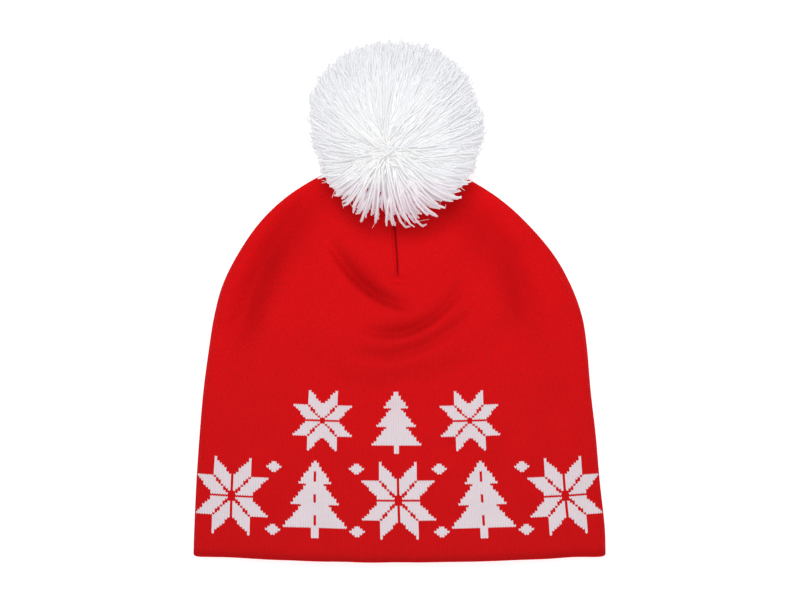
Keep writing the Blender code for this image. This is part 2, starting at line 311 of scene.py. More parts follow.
# Where the painted light on the red reaches full strength
PAINTED_LIGHT_Y = CROWN_HEIGHT + HEM_Y - LIFT_LENGTH / 3
TOUCH = WALL / 1000
MIDDLE_WALE = WALES // 2

TABLE = np.array(SECTIONS)
BEYOND_TIP = TABLE[-2] * np.array([1, -1, 1, 1, 1, 1])
SPREAD = np.vstack([2 * TABLE[0] - TABLE[1], TABLE, BEYOND_TIP])


def section(at):
    """The six sizes of the sections at places along the table, drawn smoothly through its rows."""
    at = np.clip(np.asarray(at, float), 0, TIP_ROW)
    first = np.minimum(at.astype(int), TIP_ROW - 1)
    share = (at - first)[..., None]
    before, start, end, after = (SPREAD[first + step] for step in range(4))
    return (
        start * (2 * share**3 - 3 * share**2 + 1)
        + end * (3 * share**2 - 2 * share**3)
        + (end - before) / 2 * (share**3 - 2 * share**2 + share)
        + (after - start) / 2 * (share**3 - share**2)
    )


def outline(at):
    """The side edge of the flat cloth: the hat's outline, let out by what its rolled edge takes up."""
    here = section(at)
    rise = section(at + EDGE_STEP) - section(at - EDGE_STEP)
    along = np.stack([rise[..., 1] * HALF_HEM, rise[..., 0] * CROWN_HEIGHT], -1)
    outward = np.stack([along[..., 1], -along[..., 0]], -1)
    outward /= np.linalg.norm(outward, axis=-1, keepdims=True)
    outward[np.asarray(at) >= TIP_ROW] = (0.0, 1.0)
    edge = np.stack([here[..., 1] * HALF_HEM, here[..., 0] * CROWN_HEIGHT], -1)
    return edge + outward * ROLL_TAKE_UP


EDGE_LINE = outline(np.linspace(0, TIP_ROW, TIP_ROW * OUTLINE_STEPS + 1))
EDGE_LINE = np.vstack([EDGE_LINE[0] - (0, 2 * HEM_ROLL), EDGE_LINE, EDGE_LINE[-1] - (2 * HEM_ROLL, 0)])


def nearest_on(line, points):
    """The nearest places on a line of points, how far along it they are, and on which side the points lie."""
    start, along = line[:-1], np.diff(line, axis=0)
    offset = points[:, None, :] - start[None]
    share = np.clip((offset * along).sum(-1) / (along**2).sum(-1), 0, 1)
    found = start + share[..., None] * along
    distance = np.linalg.norm(points[:, None, :] - found, axis=-1)
    best = distance.argmin(1)
    pick = np.arange(len(points))
    side = along[best, 0] * offset[pick, best, 1] - along[best, 1] * offset[pick, best, 0]
    return found[pick, best], distance[pick, best], (best + share[pick, best]) / len(along), side


def smoothstep(value):
    """A soft rise from 0 to 1."""
    value = np.clip(value, 0, 1)
    return value * value * (3 - 2 * value)


def near_folds(x, y):
    """For each fold, its row, how strong it still is, how far off it is and which points lie on its left."""
    share = np.linspace(0, 1, FOLD_STEPS + 1)[:, None]
    points = np.stack([x, y], -1)
    for row in FOLDS:
        start, pull, end = (np.array(place) * (HALF_HEM, CROWN_HEIGHT) for place in row[:3])
        line = (1 - share) ** 2 * start + 2 * share * (1 - share) * pull + share**2 * end
        _, distance, place, side = nearest_on(line, points)
        fade = np.sqrt(np.sin(math.pi * np.clip(place, FOLD_ENDS, 1 - FOLD_ENDS)))
        yield row[3:], fade, distance / FOLD_RADIUS, side > 0


def fold_depth(x, y):
    """How far the folds press the front in."""
    depth = np.zeros_like(x)
    for (deep, left, right, round_left), fade, distance, on_left in near_folds(x, y):
        to_left = np.exp(-((distance / left) ** round_left))
        to_right = np.exp(-((distance / right) ** 2))
        depth += deep * WALL * fade * np.where(on_left, to_left, to_right)
    return depth


def fold_shade(x, y):
    """How much darker the yarn is painted down in the creases, as painted shade."""
    shade = np.zeros_like(x)
    for (deep, left, right, round_left), fade, distance, on_left in near_folds(x, y):
        broad = SHADE_BREADTH * np.where(on_left, left, right)
        shade += SHADE * (2 - round_left) * deep * fade**2 * np.exp(-((distance / broad) ** 2))
    return np.minimum(shade, 1)


def dart_depth(x, y):
    """How far the sewn dart down the middle draws the cloth in."""
    fade = smoothstep((DART_LENGTH - CROWN_HEIGHT + y) / DART_FADE)
    return DART_DEPTH * fade * np.exp(-(((x - DART_ASIDE) / DART_WIDTH) ** 2))


def unevenness(x, y):
    """Low waves in all directions."""
    rng = np.random.default_rng(UNEVEN_SEED)
    rise = np.zeros_like(x)
    for _ in range(UNEVEN_WAVES):
        way = rng.uniform(0, 2 * math.pi)
        length = rng.uniform(*UNEVEN_LENGTH)
        place = (x * math.cos(way) + y * math.sin(way)) / length
        rise += UNEVEN_HEIGHT * np.sin(2 * math.pi * place + rng.uniform(0, 2 * math.pi))
    return rise


def cloth_points(at, across, is_front):
    """Points of the outer face. at runs up the table, and across from -1 at the left to 1 at the right."""
    at = np.broadcast_to(at, across.shape)
    sizes = section(at)
    edge = outline(at)
    reach_in = (1 - across**2) ** sizes[:, 5]
    middle_y = sizes[:, 2] * (CROWN_HEIGHT + ROLL_TAKE_UP)
    flat = np.stack([np.abs(across) * edge[:, 0], edge[:, 1] - (edge[:, 1] - middle_y) * reach_in], -1)
    nearest, inset, _, side = nearest_on(EDGE_LINE, flat)
    on_edge = (np.abs(across) >= 1) | (side <= 0) | (inset < TOUCH)
    inset = np.where(on_edge, 0, inset)
    turn = np.minimum(inset, ROLL_LENGTH) / FOLD_RADIUS
    rolled = (flat - nearest) / np.maximum(inset, TOUCH)[:, None]
    rolled = nearest + rolled * (ROLL_TAKE_UP + FOLD_RADIUS * (1 - np.cos(turn)))[:, None]
    place = np.where((inset < ROLL_LENGTH)[:, None], rolled, flat)
    rim = np.stack([sizes[:, 1] * HALF_HEM, sizes[:, 0] * CROWN_HEIGHT], -1)
    place = np.where(on_edge[:, None], rim, place)
    x, y = place[:, 0] * np.sign(across), place[:, 1]
    lift = CROWN_LIFT * smoothstep((y - CROWN_HEIGHT + LIFT_LENGTH) / LIFT_LENGTH)
    dart = dart_depth(x, y)
    if is_front:
        reach = np.minimum(inset / HALF_HEM, 1)
        low, high = SECTIONS[0][2], SECTIONS[0][0]
        hem = CROWN_HEIGHT * (high - (high - low) * (1 - across**2))
        above_hem = np.maximum(0, 1 - (y - hem) / HEM_ROLL)
        height = FOLD_RADIUS * (1 + np.sin(turn))
        height += sizes[:, 4] * LOFT * (1 - (1 - reach) ** 2)
        height -= (fold_depth(x, y) + dart - unevenness(x, y)) * smoothstep(inset / ROLL_LENGTH)
        height -= HEM_DROP * above_hem**2 * smoothstep(inset / FACE_SOFTENING)
    else:
        height = FOLD_RADIUS * (1 - np.sin(turn)) + dart * smoothstep(lift / DART_WIDTH)
    return np.stack([x + sizes[:, 3] * HALF_HEM, y + HEM_Y, height + lift], -1)


# How far up the cloth each place of the table lies, so that the courses are evenly spaced
TABLE_PLACES = np.linspace(0, TIP_ROW - 1, TABLE_STEPS)
UP_THE_CLOTH = section(TABLE_PLACES)[:, [0, 2]].mean(-1) * CROWN_HEIGHT
UP_THE_CLOTH -= UP_THE_CLOTH[0]
COURSE = (UP_THE_CLOTH[-1] - WALL / 2) / COURSES


def course_place(course):
    """The place in the table of a course, counted from where the hem has turned."""
    return np.interp(WALL / 2 + np.maximum(course, 0) * COURSE, UP_THE_CLOTH, TABLE_PLACES)


def star(i, j, size):
    """An eight-pointed star of slanted petals. i and j count stitches and courses from its middle."""
    across, up = np.abs(i) / (size[0] + 0.5), np.abs(j) / (size[1] + 0.5)
    upright = (across <= PETAL_REACH) & (up - across > PETAL_GAP) & (up - across <= PETAL_REACH)
    level = (up <= PETAL_REACH) & (across - up > PETAL_GAP) & (across - up <= PETAL_REACH)
    return (upright | level) & (i != 0) & (j != 0)


def fir_tree(i, j, tiers, top):
    """A fir tree on a short trunk. A tier has its lowest course, and its half width there and at its top."""
    i = np.abs(i)
    white = (j >= 0) & (j < tiers[0][0]) & (i <= TRUNK_HALF)
    ends = [tier[0] for tier in tiers[1:]] + [top]
    for (start, wide, narrow), end in zip(tiers, ends):
        share = (j - start) / (end - 1 - start)
        white |= (j >= start) & (j < end) & (i <= np.rint(wide + (narrow - wide) * share))
        white &= ~((i == 0) & (j > start) & (share < SLIT_SHARE))
    return white


def dot(i, j):
    """A small diamond."""
    return np.abs(i) + np.abs(j) <= DOT_HALF


def is_white(wale, course):
    """Which stitches are knitted in white. wale counts round the hat from the middle of the front."""
    white = np.zeros(np.broadcast(wale, course).shape, bool)
    band = LOWER_BAND
    step = 2 * band["gap"]
    i, j = (wale + band["gap"]) % step - band["gap"], course - band["foot"]
    white |= star(i, j - band["star"][1], band["star"])
    white |= fir_tree(wale % step - band["gap"], j, band["tiers"], band["top"])
    between = wale % band["gap"] - band["gap"] / 2
    off_the_side = np.abs(wale % WALES - WALES / 2) > DOT_HALF
    for row in DOT_ROWS:
        white |= dot(between, j - row) & off_the_side
    band = UPPER_BAND
    i, j = (wale + WALES / 2) % WALES - WALES // 2, course - band["foot"]
    white |= fir_tree(i, j, band["tiers"], band["top"])
    for way in (-1, 1):
        white |= star(i + way * band["gap"], j - band["star"][1], band["star"])
    return white


def knitted_sheet(name, points, wales, courses, finish, white=None, crease_shade=None):
    """A sheet of stitches made from a grid: points, and the wale and course that each lies on."""
    rows, columns = wales.shape
    grid = bmesh.new()
    bmesh.ops.create_grid(grid, x_segments=columns - 1, y_segments=rows - 1, size=1.0)
    mesh = bpy.data.meshes.new(name)
    grid.to_mesh(mesh)
    grid.free()
    mesh.vertices.foreach_set("co", points.reshape(-1))
    corners = np.empty(len(mesh.loops), int)
    mesh.loops.foreach_get("vertex_index", corners)
    stitches = np.stack([wales.reshape(-1)[corners], courses.reshape(-1)[corners]], -1)
    mesh.uv_layers.new(name="stitches").data.foreach_set("uv", stitches.reshape(-1))
    row, column = np.divmod(corners.reshape(-1, 4).min(1), columns)
    yarn = mesh.attributes.new("white_yarn", "FLOAT", "FACE")
    if white is not None:
        yarn.data.foreach_set("value", white(column, row).astype(np.float32))
    # Painted shade in creases, down the dart and along the hem, stored per point for the material
    shade = mesh.attributes.new("crease_shade", "FLOAT", "POINT")
    if crease_shade is not None:
        shade.data.foreach_set("value", crease_shade.reshape(-1).astype(np.float32))
    mesh.shade_smooth()
    mesh.materials.append(finish)
    obj = bpy.data.objects.new(name, mesh)
    bpy.context.scene.collection.objects.link(obj)
    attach(obj, "root")
    return obj


def outer_side(name, is_front, finish):
    """One side of the hat. Each stitch is two faces that slant down to its middle."""
    columns = 2 * WALES + 1
    across = np.linspace(-1, 1, columns) * (1 if is_front else -1)
    dips = np.arange(columns) % 2 * DIP
    points, courses = [], []
    for row in range(COURSES + 1):
        course = np.maximum(row - dips, 0)
        points.append(cloth_points(course_place(course), across, is_front))
        courses.append(course)
    tip = np.array([SECTIONS[-1][3] * HALF_HEM, CROWN_HEIGHT + HEM_Y, CROWN_LIFT + FOLD_RADIUS])
    points.append(np.broadcast_to(tip, points[-1].shape))
    courses.append(courses[-1] + 1)
    wales = np.broadcast_to(np.arange(columns) / 2, (COURSES + 2, columns))
    start = 0 if is_front else WALES

    def white(column, row):
        return is_white(column // 2 - MIDDLE_WALE + start, row)

    points, courses = np.array(points), np.array(courses)
    # Painted shade along the hem, down the dart and in the folds
    crease_shade = HEM_SHADE * np.exp(-((courses / HEM_SHADE_COURSES) ** 2))
    if is_front:
        lean = np.interp(points[..., 1], HEM_Y + TABLE[:, 0] * CROWN_HEIGHT, TABLE[:, 3] * HALF_HEM)
        x, y = points[..., 0] - lean, points[..., 1] - HEM_Y
        crease_shade += (dart_depth(x, y) / DART_DEPTH) ** 2 + [fold_shade(*row) for row in zip(x, y)]
    return knitted_sheet(name, points, wales + start, courses, finish, white, np.minimum(crease_shade, 1))


def inner_side(name, finish):
    """The turn of the hem and the inner face of the cloth, as one sheet that runs all the way round."""
    half = np.linspace(-1, 1, 2 * WALES + 1)
    places = course_place(np.linspace(0, COURSES * INNER_SHARE, INNER_ROWS))
    outer = []
    for at in places:
        front = cloth_points(at, half[::-1], True)
        back = cloth_points(at, half, False)
        outer.append(np.vstack([front, back[1:]]))
    outer = np.array(outer)
    round_it = np.roll(outer[:, :-1], -1, 1) - np.roll(outer[:, :-1], 1, 1)
    round_it = np.concatenate([round_it, round_it[:, :1]], 1)
    up_it = np.gradient(outer, axis=0)
    inward = np.cross(round_it, up_it)
    inward /= np.linalg.norm(inward, axis=-1, keepdims=True)
    down = -up_it[0] / np.linalg.norm(up_it[0], axis=-1, keepdims=True)
    hem = []
    for turn in np.linspace(0, math.pi, HEM_ROWS):
        deep, low = 1 - math.cos(turn), math.sin(turn)
        hem.append(outer[0] + inward[0] * WALL / 2 * deep + down * WALL / 2 * low)
    inside = outer[1:] + inward[1:] * WALL
    end_y = CROWN_HEIGHT + HEM_Y - 2 * FOLD_RADIUS
    end = np.array([SECTIONS[-1][3] * HALF_HEM, end_y, CROWN_LIFT + FOLD_RADIUS])
    points = np.concatenate([np.array(hem), inside, np.broadcast_to(end, (1, *outer[0].shape))])
    columns = points.shape[1]
    wales = np.broadcast_to(-np.arange(columns) / 2, points.shape[:2])
    courses = -np.linspace(0, WALL * math.pi / 2 / COURSE, HEM_ROWS)
    courses = np.concatenate([courses, courses[-1] - np.linspace(0, COURSES, INNER_ROWS)])
    return knitted_sheet(name, points, wales, np.broadcast_to(courses[:, None], points.shape[:2]), finish)


def pompom_centre():
    """The middle of the pompom's solid."""
    tip_x, tip_y = SECTIONS[-1][3] * HALF_HEM, CROWN_HEIGHT + HEM_Y
    return np.array([tip_x, tip_y + POMPOM_REACH, POMPOM_RADIUS - POMPOM_SETTLE])


def ball_directions(count, rng, jitter):
    """Directions spread evenly over a ball, each moved a little."""
    step = np.arange(count) + 0.5
    height = 1 - 2 * step / count
    turn = step * math.pi * (1 + math.sqrt(5))
    flat = np.sqrt(1 - height**2)
    ways = np.stack([flat * np.cos(turn), flat * np.sin(turn), height], -1)
    ways += rng.normal(0, jitter, ways.shape)
    return ways / np.linalg.norm(ways, axis=-1, keepdims=True)


def crown_heights(front, back):
    """Height maps of the crown's front and back where the pompom lies on it, and a reader for them."""
    xs, ys = np.arange(MAP_LOW[0], MAP_HIGH[0], MAP_STEP), np.arange(MAP_LOW[1], MAP_HIGH[1], MAP_STEP)
    maps = []
    for obj, way in ((front, -1), (back, 1)):
        heights = np.full((len(ys), len(xs)), NO_CLOTH)
        for row, y in enumerate(ys):
            for column, x in enumerate(xs):
                hit, place, _, _ = obj.ray_cast(Vector((x, y, -RAY_START * way)), Vector((0, 0, way)))
                if hit:
                    heights[row, column] = place.z
        maps.append(heights)

    def read(points):
        place = points[:, :2]
        cell = np.rint((place - MAP_LOW) / MAP_STEP).astype(int)
        column, row = np.clip(cell[:, 0], 0, len(xs) - 1), np.clip(cell[:, 1], 0, len(ys) - 1)
        outside = ((place < MAP_LOW) | (place > MAP_HIGH)).any(-1)
        return [np.where(outside, NO_CLOTH, heights[row, column]) for heights in maps]

    return read


def laid_on_hat(wanted, heights, radius):
    """Strands along the wanted paths. Where one meets the crown or the surface, it goes on along it."""
    paths = wanted.copy()
    start_top, _ = heights(wanted[:, 0])
    over = wanted[:, 0, 2] > start_top
    for step in range(1, wanted.shape[1]):
        move = wanted[:, step] - wanted[:, step - 1]
        point = paths[:, step - 1] + move
        top, bottom = heights(point)
        lies = (top > 0) & over & (point[:, 2] < top + radius)
        point[:, 2] = np.where(lies, top + radius, point[:, 2])
        hangs = (top > 0) & ~over & (point[:, 2] > bottom - radius)
        point[:, 2] = np.where(hangs, bottom - radius, point[:, 2])
        down = point[:, 2] < radius
        point[:, 2] = np.where(down, radius, point[:, 2])
        moved = point - paths[:, step - 1]
        level = np.linalg.norm(moved[:, :2], axis=-1)
        wanted_level = np.sqrt(np.maximum((move**2).sum(-1) - moved[:, 2] ** 2, LEAST_MOVE**2))
        stretch = np.where(lies | hangs | down, wanted_level / np.maximum(level, LEAST_MOVE), 1.0)
        point[:, :2] = paths[:, step - 1, :2] + moved[:, :2] * np.clip(stretch, *STRETCH)[:, None]
        ran = (paths[:, step - 1] - paths[:, max(step - 2, 0)])[:, :2]
        back = lies & ((moved[:, :2] * ran).sum(-1) < 0)
        onward = paths[:, step - 1, :2] + RUN_OUT * ran
        point[:, :2] = np.where(back[:, None], onward, point[:, :2])
        top, _ = heights(point)
        point[:, 2] = np.where(lies & (top > 0), top + radius, point[:, 2])
        paths[:, step] = point
    return paths


def yarn_mesh(name, paths, radii, finish):
    """One mesh of round strands along paths, a little thinner at their tips."""
    curve = bpy.data.curves.new(name, "CURVE")
    curve.dimensions = "3D"
    curve.bevel_depth = 1.0
    curve.bevel_resolution = 0
    curve.use_fill_caps = True
    points = paths.shape[1]
    taper = np.interp(np.linspace(0, 1, points), TAPER_PLACES, TAPER_SHARES)
    for path, radius in zip(paths, radii):
        spline = curve.splines.new("POLY")
        spline.points.add(points - 1)
        spline.points.foreach_set("co", np.column_stack([path, np.ones(points)]).reshape(-1))
        spline.points.foreach_set("radius", taper * radius)
        spline.use_smooth = True
    drawn = bpy.data.objects.new(name, curve)
    bpy.context.scene.collection.objects.link(drawn)
    graph = bpy.context.evaluated_depsgraph_get()
    mesh = bpy.data.meshes.new_from_object(drawn.evaluated_get(graph))
    bpy.data.objects.remove(drawn)
    mesh.name = name
    mesh.shade_smooth()
    mesh.materials.clear()
    mesh.materials.append(finish)
    obj = bpy.data.objects.new(name, mesh)
    bpy.context.scene.collection.objects.link(obj)
    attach(obj, "root")
    return obj


def lumpiness(ways):
    """How much farther than the ball's radius the yarn reaches in each direction."""
    level = np.degrees(np.arctan2(ways[:, 1], ways[:, 0]))
    share = np.linalg.norm(ways[:, :2], axis=-1) ** 2
    rise = np.zeros(len(ways))
    for way, height, breadth in LUMPS:
        apart = (level - way + 180) % 360 - 180
        rise += height * np.exp(-((apart / breadth) ** 2))
    return 1 + rise * share


def over_the_ball(centre, angles, turns, radii):
    """Points by their angle from the parting, their turn round it and their distance from the middle."""
    pole = np.array(PARTING)
    first = np.cross(pole, (0.0, 0.0, 1.0))
    first /= np.linalg.norm(first)
    second = np.cross(pole, first)
    side = np.cos(turns)[..., None] * first + np.sin(turns)[..., None] * second
    ways = np.cos(angles)[..., None] * pole + np.sin(angles)[..., None] * side
    return centre + ways * radii[..., None], ways


def combed_paths(rng, centre):
    """Strands that lie over the ball side by side, from the parting to their tips."""
    clump = rng.integers(0, COMBED_CLUMPS, COMBED)
    turn = rng.uniform(0, 2 * math.pi, COMBED_CLUMPS)[clump] + rng.normal(0, CLUMP_SPREAD, COMBED)
    even, tail = rng.random(COMBED_CLUMPS)[clump], rng.random(COMBED) ** 2
    _, ways = over_the_ball(centre, np.full(COMBED, math.pi / 2), turn, np.ones(COMBED))
    over_crown = smoothstep((-ways[:, 1] - CROWN_FROM) / CROWN_SPAN)
    low, high, reach = (
        free + (crown - free) * over_crown for free, crown in zip(COMBED_TIPS, COMBED_OVER_CROWN)
    )
    ends = np.radians(low + (high - low) * even + reach * tail + rng.normal(0, TIPS_UNEVEN, COMBED))
    starts = np.radians(rng.uniform(*COMBED_STARTS, COMBED))
    share = np.linspace(0, 1, COMBED_POINTS)[None]
    angles = starts[:, None] + (ends - starts)[:, None] * share**COMBED_EASE
    first = BALL_RADIUS * rng.uniform(*COMBED_ROOTS, COMBED)
    _, tip_ways = over_the_ball(centre, ends, turn, np.ones(COMBED))
    last = BALL_RADIUS * (1 - LENGTH_UNEVEN * rng.random(COMBED) ** LENGTH_BIAS) * lumpiness(tip_ways)
    downhill = smoothstep((-ways[:, 1] - DOWNHILL_FROM) / DOWNHILL_SPAN)
    last *= 1 + CROWN_REACH * downhill * rng.random(COMBED_CLUMPS)[clump]
    radii = first[:, None] + (last - first)[:, None] * (1 - (1 - share) ** COMBED_ROUND)
    lock = np.floor(turn / (2 * math.pi / LOCKS)).astype(int) % LOCKS
    middle = lock + rng.uniform(*LOCK_MIDDLES, LOCKS)[lock]
    to_lock = (middle * 2 * math.pi / LOCKS - turn + math.pi) % (2 * math.pi)
    drawn = LOCK_PULL * over_crown * (to_lock - math.pi)
    strays = rng.normal(0, STRAY_SPREAD + (LOCK_SPREAD - STRAY_SPREAD) * over_crown)
    turns = turn[:, None] + drawn[:, None] * share**LOCK_BEND + strays[:, None] * share**2
    paths, _ = over_the_ball(centre, angles, turns, radii)
    share = share[..., None]
    aside = rng.normal(0, PARTING_SPREAD * BALL_RADIUS, (COMBED_CLUMPS, 1, 3))[clump]
    straighter = 1 - FRINGE_STRAIGHTER * over_crown[:, None, None]
    bends = rng.normal(0, CURL, (COMBED, 1, 3)) * share**2 * straighter
    paths = paths + aside * (1 - share) ** 2 + bends
    thick = YARN_RADIUS * rng.uniform(*YARN_THICKNESS, COMBED) * (1 + FRINGE_THICKER * over_crown)
    kept = rng.random(COMBED) > FRINGE_THINNED * over_crown
    kept &= rng.random(COMBED_CLUMPS)[clump] > CLUMPS_THINNED * over_crown
    return paths[kept], thick[kept]


def standing_paths(rng, centre, heights):
    """Strands that stand out from the heart, but for a ring round the parting that combed ones cover."""
    ways = ball_directions(STANDING, rng, STANDING_JITTER)
    knots = ball_directions(STANDING_CLUMPS, rng, STANDING_JITTER)
    nearest = np.argmax(ways @ knots.T, 1)
    ways += (knots[nearest] - ways) * CLUMPING
    ways /= np.linalg.norm(ways, axis=-1, keepdims=True)
    from_pole = np.degrees(np.arccos(np.clip(ways @ np.array(PARTING), -1, 1)))
    ways = ways[(from_pole > STANDING_FROM) | (from_pole < TUFT_WITHIN)]
    ways = ways[rng.permutation(len(ways))]
    lengths = BALL_RADIUS * (1 - LENGTH_UNEVEN * rng.random(len(ways))) * lumpiness(ways)
    in_tuft = ways @ np.array(PARTING) > math.cos(math.radians(TUFT_WITHIN))
    lengths = np.where(in_tuft, lengths * TUFT_SHARE, lengths)
    lengths *= 1 - STANDING_DRAWN_IN * smoothstep((-ways[:, 1] - DRAWN_IN_FROM) / DRAWN_IN_SPAN)
    tips = centre + ways * lengths[:, None]
    top, _ = heights(tips)
    under = (top > 0) & (tips[:, 2] < top + UNDER_CROWN_HEIGHT)
    lengths = np.where(under, lengths * UNDER_CROWN_SHARE, lengths)
    share = np.linspace(STANDING_START, 1, STANDING_POINTS)[None, :, None]
    aside = np.array(PARTING) * (1 - share) * STANDING_ASIDE
    paths = (ways[:, None] + aside) * share * lengths[:, None, None]
    bends = rng.normal(0, CURL, (len(ways), 1, 3)) * share**2
    return centre + paths + bends


def make_pompom(front, back, finish):
    """The pompom: a core, strands of yarn in three pieces, and fine loose fibres."""
    rng = np.random.default_rng(YARN_SEED)
    centre = pompom_centre() + BALL_SHIFT
    heights = crown_heights(front, back)
    wanted, thick = combed_paths(rng, centre)
    combed = laid_on_hat(wanted, heights, YARN_RADIUS)
    standing = laid_on_hat(standing_paths(rng, centre, heights), heights, YARN_RADIUS)
    first = yarn_mesh("pompom_yarn_1", combed[::2], thick[::2], finish)
    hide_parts("pompom")
    yarn_mesh("pompom_yarn_2", combed[1::2], thick[1::2], finish)
    thick = YARN_RADIUS * rng.uniform(*YARN_THICKNESS, len(standing))
    yarn_mesh("pompom_yarn_3", standing, thick, finish)
    ends = np.concatenate([combed[:, -2:], standing[:, -2:]])
    ends = ends[rng.choice(len(ends), FUZZ, replace=False)]
    along = ends[:, 1] - ends[:, 0]
    along /= np.linalg.norm(along, axis=-1, keepdims=True)
    share = np.linspace(0, 1, STANDING_POINTS)[None, :, None]
    reach = along * rng.uniform(*FUZZ_SHARES, (FUZZ, 1)) * FUZZ_LENGTH + rng.normal(0, FUZZ_SPREAD, (FUZZ, 3))
    wanted = ends[:, 1:] + reach[:, None] * share + rng.normal(0, FUZZ_CURL, (FUZZ, 1, 3)) * share**2
    fine = laid_on_hat(wanted, heights, FUZZ_RADIUS)
    yarn_mesh("pompom_fuzz", fine, np.full(FUZZ, FUZZ_RADIUS), finish)
    core = bmesh.new()
    bmesh.ops.create_icosphere(core, subdivisions=4, radius=BALL_RADIUS * CORE_SHARE)
    bmesh.ops.translate(core, verts=core.verts, vec=Vector(centre) + CORE_SHIFT)
    mesh = bpy.data.meshes.new("pompom_core")
    core.to_mesh(mesh)
    core.free()
    mesh.shade_smooth()
    mesh.materials.append(finish)
    obj = bpy.data.objects.new("pompom_core", mesh)
    bpy.context.scene.collection.objects.link(obj)
    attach(obj, "root")


class Nodes:
    """A material's nodes, added one after the other."""

    def __init__(self, name):
        self.material = bpy.data.materials.new(name)
        self.material.use_nodes = True
        self.tree = self.material.node_tree
        self.shader = self.tree.nodes["Principled BSDF"]

    def add(self, kind, *inputs, **settings):
        node = self.tree.nodes.new(kind)
        for key, value in settings.items():
            setattr(node, key, value)
        for index, value in enumerate(inputs):
            self.set(node.inputs[index], value)
        return node

    def set(self, socket, value):
        if isinstance(value, bpy.types.NodeSocket):
            self.tree.links.new(value, socket)
        elif value is not None:
            socket.default_value = value

    def math(self, operation, *inputs, clamp=False):
        return self.add("ShaderNodeMath", *inputs, operation=operation, use_clamp=clamp).outputs[0]

    def mix(self, share, first, second):
        node = self.add("ShaderNodeMix", data_type="RGBA")
        self.set(node.inputs["Factor"], share)
        for name, value in (("A", first), ("B", second)):
            socket = next(s for s in node.inputs if s.name == name and s.type == "RGBA")
            self.set(socket, (*value, 1.0) if isinstance(value, tuple) else value)
        return next(s for s in node.outputs if s.type == "RGBA")


def knit_material():
    """Fine knit: V-shaped stitches raised from their wales and courses, in red and in white yarn."""
    nodes = Nodes("double_knit")
    uv = nodes.add("ShaderNodeUVMap", uv_map="stitches").outputs["UV"]
    split = nodes.add("ShaderNodeSeparateXYZ", uv)
    wale, course = split.outputs[0], split.outputs[1]
    in_wale = nodes.math("FRACT", wale)
    from_middle = nodes.math("ABSOLUTE", nodes.math("SUBTRACT", in_wale, 0.5))
    dip = nodes.math("MULTIPLY", nodes.math("SUBTRACT", 0.5, from_middle), 2 * DIP)
    row = nodes.math("ADD", course, dip)
    along = nodes.math("FRACT", row)
    across = nodes.math("FRACT", nodes.math("MULTIPLY", wale, 2.0))

    def hump(value):
        return nodes.math("SINE", nodes.math("MULTIPLY", value, math.pi))

    loop = nodes.math("MULTIPLY", hump(across), nodes.math("POWER", hump(along), LOOP_ROUND))
    loop = nodes.math("POWER", nodes.math("MAXIMUM", loop, 0.0), LOOP_SOFT)
    wale_body = nodes.math("POWER", nodes.math("MAXIMUM", hump(in_wale), 0.0), WALE_ROUND)
    cell = nodes.add("ShaderNodeCombineXYZ", nodes.math("FLOOR", wale), nodes.math("FLOOR", row))
    uneven = nodes.add("ShaderNodeTexWhiteNoise", cell.outputs[0], noise_dimensions="3D").outputs["Value"]
    where = nodes.add("ShaderNodeTexCoord").outputs["Object"]
    fibres = nodes.add("ShaderNodeTexNoise", where)
    fibres.inputs["Scale"].default_value = FIBRE_SCALE
    fibres.inputs["Detail"].default_value = FIBRE_DETAIL
    cloudy = nodes.add("ShaderNodeTexNoise", where)
    cloudy.inputs["Scale"].default_value = CLOUDY_SCALE
    white = nodes.add("ShaderNodeAttribute", attribute_name="white_yarn").outputs["Fac"]
    lit_wale = nodes.math("MULTIPLY", wale_body, WALE_LIGHT)
    lit = nodes.math("ADD", nodes.math("MULTIPLY", loop, LOOP_LIGHT), lit_wale)
    lit = nodes.math("ADD", lit, nodes.math("MULTIPLY", uneven, UNEVEN_LIGHT))
    lit = nodes.math("ADD", lit, nodes.math("MULTIPLY", cloudy.outputs["Fac"], CLOUDY_LIGHT), clamp=True)
    upward = nodes.add("ShaderNodeSeparateXYZ", where).outputs[1]
    # Painted light: the red is painted brighter from the hem up towards the crown
    painted_light = nodes.add("ShaderNodeMapRange", upward, HEM_Y, PAINTED_LIGHT_Y, 0.0, 1.0).outputs[0]
    # Painted shade: red and white darken towards their gap colours between loops and wales, mixed with random
    # tone
    red = nodes.mix(lit, RED_GAP_SHADE, nodes.mix(painted_light, RED, RED_PAINTED_LIGHT))
    pale = nodes.mix(nodes.math("POWER", lit, WHITE_ROUND), WHITE_GAP_RED_AND_SHADE, WHITE_STITCH)
    # Painted shade: creases, the dart and the hem darken towards the crease red
    crease_shade = nodes.add("ShaderNodeAttribute", attribute_name="crease_shade").outputs["Fac"]
    cloth = nodes.mix(crease_shade, nodes.mix(white, red, pale), RED_CREASE_SHADE)
    nodes.set(nodes.shader.inputs["Base Color"], cloth)
    relief = nodes.math("ADD", loop, nodes.math("MULTIPLY", fibres.outputs["Fac"], FIBRE_RELIEF))
    relief = nodes.math("ADD", relief, nodes.math("MULTIPLY", uneven, UNEVEN_RELIEF))
    bump = nodes.add("ShaderNodeBump")
    bump.inputs["Strength"].default_value = KNIT_BUMP
    bump.inputs["Distance"].default_value = KNIT_BUMP_HEIGHT
    nodes.set(bump.inputs["Height"], relief)
    nodes.set(nodes.shader.inputs["Normal"], bump.outputs[0])
    nodes.shader.inputs["Roughness"].default_value = MATT
    nodes.shader.inputs["Specular IOR Level"].default_value = KNIT_SHINE
    return nodes.material


